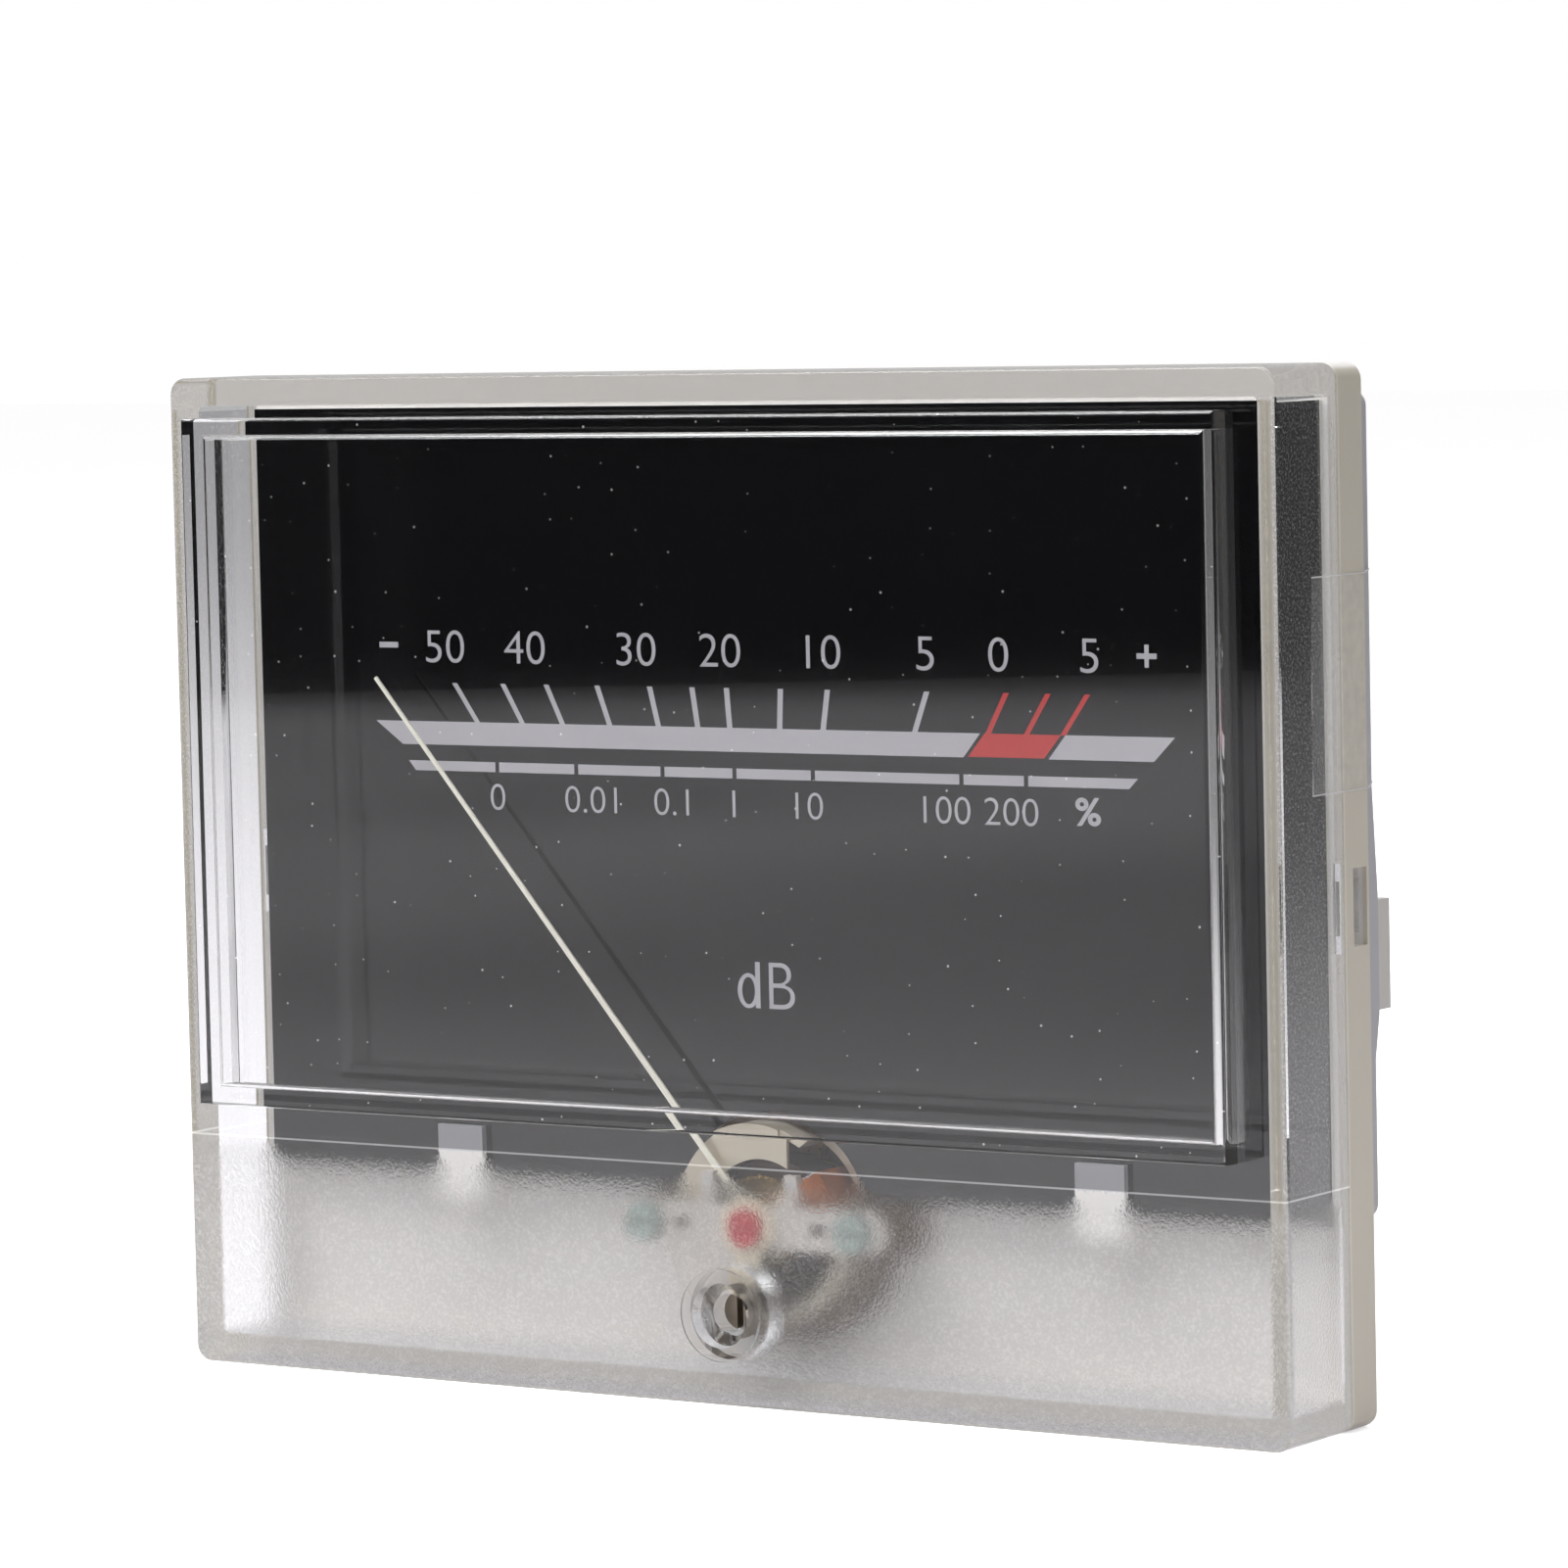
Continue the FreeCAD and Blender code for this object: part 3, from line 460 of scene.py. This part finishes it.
def printed_text(name, entries, material):
    """Numbers and letters as one flat mesh: words, x, z, height in mm, width share, weight."""
    points = []
    faces = []
    for words, x, z, height, wide, weight in entries:
        curve = bpy.data.curves.new(name, "FONT")
        curve.body = words
        curve.size = 1.0
        curve.offset = weight
        probe = bpy.data.objects.new(name, curve)
        bpy.context.scene.collection.objects.link(probe)
        bpy.context.view_layer.update()
        mesh = bpy.data.meshes.new_from_object(probe)
        bpy.data.objects.remove(probe)
        low_x, high_x = min(v.co.x for v in mesh.vertices), max(v.co.x for v in mesh.vertices)
        low_y, high_y = min(v.co.y for v in mesh.vertices), max(v.co.y for v in mesh.vertices)
        share = height / (high_y - low_y)
        first = len(points)
        for vertex in mesh.vertices:
            left = (vertex.co.x - (low_x + high_x) / 2) * share * wide
            up = (vertex.co.y - (low_y + high_y) / 2) * share
            points.append(on_dial(x + left, z + up))
        faces.extend(tuple(first + i for i in p.vertices) for p in mesh.polygons)
    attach(new_piece(name, points, faces, material), "case")


# The scale's heights above the foot of the meter, and half a gap of its thin bar.
BAR_TOP = 46.0
BAR_LOW = 44.35
TICK_TOP = 48.75
THIN_TOP = 43.2
THIN_LOW = 42.5
HALF_GAP = 0.17

# Angles of the ticks from upright, the gaps' places, and the numbers with their places.
WHITE_TICKS = (-35.0, -30.4, -25.9, -20.2, -13.9, -8.6, -4.2, 2.7, 8.6, 20.2)
RED_TICKS = (28.3, 32.1, 35.4)
THIN_GAPS = (-22.3, -15.5, -8.2, -2.2, 4.25, 16.2, 21.3)
UPPER_NUMBERS = (("50", -26.6), ("40", -19.7), ("30", -10.2), ("20", -3.2), ("10", 5.3),
                 ("5", 13.5), ("0", 19.3), ("5", 26.4))
LOWER_NUMBERS = (("0", -22.3), ("0.01", -14.3), ("0.1", -7.5), ("1", -2.3), ("10", 3.9),
                 ("100", 15.0), ("200", 20.1))


def tick(angle, low=BAR_TOP, width=0.44):
    """A tick that points at the pivot, between two heights."""
    slope = math.tan(math.radians(angle))
    low_x = slope * (low - PIVOT_Z)
    top_x = slope * (TICK_TOP - PIVOT_Z)
    half = width / 2
    return [(low_x - half, low), (low_x + half, low), (top_x + half, TICK_TOP),
            (top_x - half, TICK_TOP)]


def box_shape(x0, x1, z0, z1):
    """An upright rectangle between two widths and two heights."""
    return [(x0, z0), (x1, z0), (x1, z1), (x0, z1)]


def letter_bowl(x, z, half_wide, half_high, across, down, stem):
    """The round part of a letter: a ring of short strips that ends at the letter's stem."""
    strips = 32
    ring = []
    for step in range(strips + 1):
        turn = 2 * math.pi * step / strips
        ring.append((
            (min(x + half_wide * math.cos(turn), stem), z + half_high * math.sin(turn)),
            (x + (half_wide - across) * math.cos(turn), z + (half_high - down) * math.sin(turn)),
        ))
    return [[a[0], b[0], b[1], a[1]] for a, b in zip(ring, ring[1:])]


def main_bar():
    """The thick bar on both sides of the red zone, with the ticks that stand on it."""
    left = [(-30.5, BAR_LOW), (16.4, BAR_LOW), (17.75, BAR_TOP), (-32.8, BAR_TOP)]
    right = [(23.1, BAR_LOW), (31.25, BAR_LOW), (32.9, BAR_TOP), (24.45, BAR_TOP)]
    return [left, right] + [tick(angle) for angle in WHITE_TICKS]


def minus_and_plus():
    """The signs at the ends of the upper numbers."""
    minus = box_shape(-32.35, -30.7, 51.2, 51.6)
    plus = [
        box_shape(30.05, 31.6, 51.18, 51.55),
        box_shape(30.66, 30.99, 50.6, 51.18),
        box_shape(30.66, 30.99, 51.55, 52.13),
    ]
    return [minus] + plus


def thin_bar():
    """The thin bar in lengths between its gaps, with slanted ends."""
    lengths = []
    left_top, left_low = -30.0, -29.4
    for gap in THIN_GAPS:
        right = gap - HALF_GAP
        lengths.append([(left_low, THIN_LOW), (right, THIN_LOW), (right, THIN_TOP),
                        (left_top, THIN_TOP)])
        left_top = left_low = gap + HALF_GAP
    lengths.append([(left_low, THIN_LOW), (29.3, THIN_LOW), (30.0, THIN_TOP),
                    (left_top, THIN_TOP)])
    return lengths


def letter_d():
    """A round small d beside the large B."""
    stem_left = -0.86
    stem = box_shape(stem_left, -0.46, 26.65, 29.85)
    return [stem] + letter_bowl(-1.43, 27.84, 0.9, 1.22, 0.37, 0.27, stem_left)


def red_zone():
    """The red length of the thick bar and its ticks."""
    bar = [(16.75, BAR_LOW + 0.05), (22.75, BAR_LOW + 0.05), (24.1, BAR_TOP), (18.1, BAR_TOP)]
    return [bar] + [tick(angle, BAR_TOP - 0.02) for angle in RED_TICKS]


def dial_printing():
    """Everything printed on the dial."""
    light = main_bar() + minus_and_plus() + thin_bar() + letter_d()
    flat_shapes("dial_scale", light, MATERIALS["print_light"])
    flat_shapes("dial_scale_red", red_zone(), MATERIALS["print_red"])
    numbers = [(words, x, 51.33, 2.3, 1.1, -0.008) for words, x in UPPER_NUMBERS]
    numbers += [(words, x, 40.75, 1.85, 1.1, -0.01) for words, x in LOWER_NUMBERS]
    numbers.append(("%", 26.1, 40.9, 1.9, 1.15, 0.022))
    numbers.append(("B", 1.33, 28.25, 3.2, 0.98, -0.013))
    printed_text("dial_numbers", numbers, MATERIALS["print_light"])


dial_printing()


def side_film():
    """The thin film on the right side, a hair off the cover, with an uneven front edge."""
    rows = 12
    points = []
    faces = []
    for row in range(rows + 1):
        share = row / rows
        z = FILM_LOW + (FILM_HIGH - FILM_LOW) * share
        shift = 0.25 * share + 0.06 * math.sin(9 * share)
        for x, y in FILM_SECTION:
            push = shift if y < FILM_FRONT else 0.0
            points.append(mm(x, y + push, z))
    count = len(FILM_SECTION)
    for row in range(rows):
        for corner in range(count):
            a = row * count + corner
            b = row * count + (corner + 1) % count
            faces.append((a, b, b + count, a + count))
    faces.append(tuple(reversed(range(count))))
    faces.append(tuple(range(rows * count, (rows + 1) * count)))
    item = new_piece("film_strip", points, faces, MATERIALS["clear_film"])
    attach(item, "case")
    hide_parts("side_tape")


side_film()


def stage_plane(name, corners, material):
    """One flat face of the studio."""
    new_piece(name, corners, [tuple(range(len(corners)))], material)


def area_light(name, where, target, size, size_y, power):
    """A soft rectangular light that faces a point."""
    light = bpy.data.lights.new(name, "AREA")
    light.shape = "RECTANGLE"
    light.size = size
    light.size_y = size_y
    light.energy = power
    item = bpy.data.objects.new(name, light)
    bpy.context.scene.collection.objects.link(item)
    item.location = where
    direction = Vector(target) - Vector(where)
    item.rotation_euler = direction.to_track_quat("-Z", "Y").to_euler()


# The table's slanted front edge in metres: a point on it, its direction, and the way out from it.
EDGE_POINT = Vector((-0.457, -0.693, 0.0))
EDGE_ALONG = Vector((0.835, -0.55, 0.0))
EDGE_AWAY = Vector((-0.55, -0.835, 0.0))


def floor_material():
    """White table that darkens toward its front edge, is painted darker to the right as shade, and
    reads as white behind the meter.
    """
    material, tree, surface = new_material("floor")
    surface.inputs["Roughness"].default_value = 0.8
    place = tree.nodes.new("ShaderNodeTexCoord").outputs["Object"]
    away = tree.nodes.new("ShaderNodeVectorMath")
    away.operation = "DOT_PRODUCT"
    away.inputs[1].default_value = EDGE_AWAY
    tree.links.new(place, away.inputs["Vector"])
    away = away.outputs["Value"]
    fade = ramp(tree, away, 0.86, 0.72)
    drift = tree.nodes.new("ShaderNodeTexNoise")
    drift.inputs["Scale"].default_value = 5
    drift.inputs["Detail"].default_value = 1
    tree.links.new(place, drift.inputs["Vector"])
    front = ramp(tree, away, 0.05, 0.3)
    swing = math_node(tree, "SUBTRACT", drift.outputs["Fac"], 0.5)
    swing = math_node(tree, "MULTIPLY", swing, 0.6)
    swing = math_node(tree, "MULTIPLY", swing, front)
    far = ramp(tree, away, 0.25, 0.7)
    lift = math_node(tree, "MULTIPLY", far, 0.18)
    drop = math_node(tree, "MULTIPLY", front, 0.42)
    level = math_node(tree, "SUBTRACT", math_node(tree, "ADD", swing, lift), drop)
    level = math_node(tree, "ADD", level, 0.82)
    # Painted shade: the table is painted darker to the right of the meter, standing in for less
    # light on that side.
    parts = tree.nodes.new("ShaderNodeSeparateXYZ")
    tree.links.new(place, parts.inputs["Vector"])
    right = math_node(tree, "MULTIPLY", ramp(tree, parts.outputs["X"], 0.1, 0.32), 0.75)
    level = math_node(tree, "MULTIPLY", level, math_node(tree, "SUBTRACT", 1.0, right))
    tone = math_node(tree, "ADD", math_node(tree, "MULTIPLY", fade, level), 0.02)
    shade = tree.nodes.new("ShaderNodeCombineColor")
    tree.links.new(tone, shade.inputs["Red"])
    tree.links.new(math_node(tree, "MULTIPLY", tone, 0.97), shade.inputs["Green"])
    tree.links.new(tone, shade.inputs["Blue"])
    tree.links.new(shade.outputs["Color"], surface.inputs["Base Color"])
    rays = tree.nodes.new("ShaderNodeLightPath")
    seen = math_node(tree, "MULTIPLY", rays.outputs["Is Camera Ray"], 0.6)
    surface.inputs["Emission Color"].default_value = (1, 1, 1, 1)
    tree.links.new(seen, surface.inputs["Emission Strength"])
    return material


def studio_world():
    """Bright to the left and above, dim to the right, white where the camera sees it."""
    world = bpy.data.worlds.new("studio")
    world.use_nodes = True
    tree = world.node_tree
    back = tree.nodes["Background"]
    parts = tree.nodes.new("ShaderNodeSeparateXYZ")
    tree.links.new(tree.nodes.new("ShaderNodeTexCoord").outputs["Generated"],
                   parts.inputs["Vector"])
    side = ramp(tree, parts.outputs["X"], 0.6, -0.5)
    high = ramp(tree, parts.outputs["Z"], 0.2, 0.9)
    level = math_node(tree, "MULTIPLY", math_node(tree, "MAXIMUM", side, high), 0.46)
    level = math_node(tree, "ADD", level, 0.07)
    rays = tree.nodes.new("ShaderNodeLightPath")
    level = math_node(tree, "MAXIMUM", level, rays.outputs["Is Camera Ray"])
    tree.links.new(level, back.inputs["Strength"])
    back.inputs["Color"].default_value = (1, 1, 1, 1)
    bpy.context.scene.world = world


def studio():
    """A white table, a dark card past its front edge, two lights and the world."""
    left = EDGE_POINT - 1.5 * EDGE_ALONG
    right = EDGE_POINT + 1.5 * EDGE_ALONG
    floor = [left, right, (3, right.y, 0), (3, 3, 0), (-3, 3, 0), (-3, left.y, 0)]
    stage_plane("floor", floor, floor_material())
    card = new_material("dark_card")[0]
    surface = card.node_tree.nodes["Principled BSDF"]
    surface.inputs["Base Color"].default_value = (0.012, 0.012, 0.014, 1)
    surface.inputs["Roughness"].default_value = 0.9
    top = Vector((0, 0, 0.45))
    stage_plane("dark_card", [left, right, right + top, left + top], card)
    target = (0, 0, 0.035)
    area_light("key", (-0.25, -0.5, 0.8), target, 0.7, 0.6, 7.5)
    area_light("top", (0.1, 0.25, 0.9), target, 0.9, 0.7, 5)
    studio_world()
    bpy.context.scene.view_settings.view_transform = "Standard"


studio()


def camera():
    """The photograph's view: turned right and a little down, with a slight roll."""
    yaw = math.radians(33.4)
    pitch = math.radians(4.3)
    roll = math.radians(-1.265)
    focal_pixels = 7050.0
    picture_pixels = 1601.0
    where = mm(262.568, -387.936, 77.74)
    ahead = Vector((-math.sin(yaw) * math.cos(pitch), math.cos(yaw) * math.cos(pitch),
                    -math.sin(pitch)))
    right = Vector((math.cos(yaw), math.sin(yaw), 0))
    up = right.cross(ahead)
    tilted_right = math.cos(roll) * right + math.sin(roll) * up
    tilted_up = math.cos(roll) * up - math.sin(roll) * right
    data = bpy.data.cameras.new("camera")
    data.sensor_width = 36.0
    data.lens = focal_pixels / picture_pixels * data.sensor_width
    data.clip_start = 0.01
    item = bpy.data.objects.new("camera", data)
    bpy.context.scene.collection.objects.link(item)
    rows = [[tilted_right[i], tilted_up[i], -ahead[i], where[i]] for i in range(3)]
    item.matrix_world = Matrix(rows + [[0, 0, 0, 1]])
    bpy.context.scene.camera = item


camera()
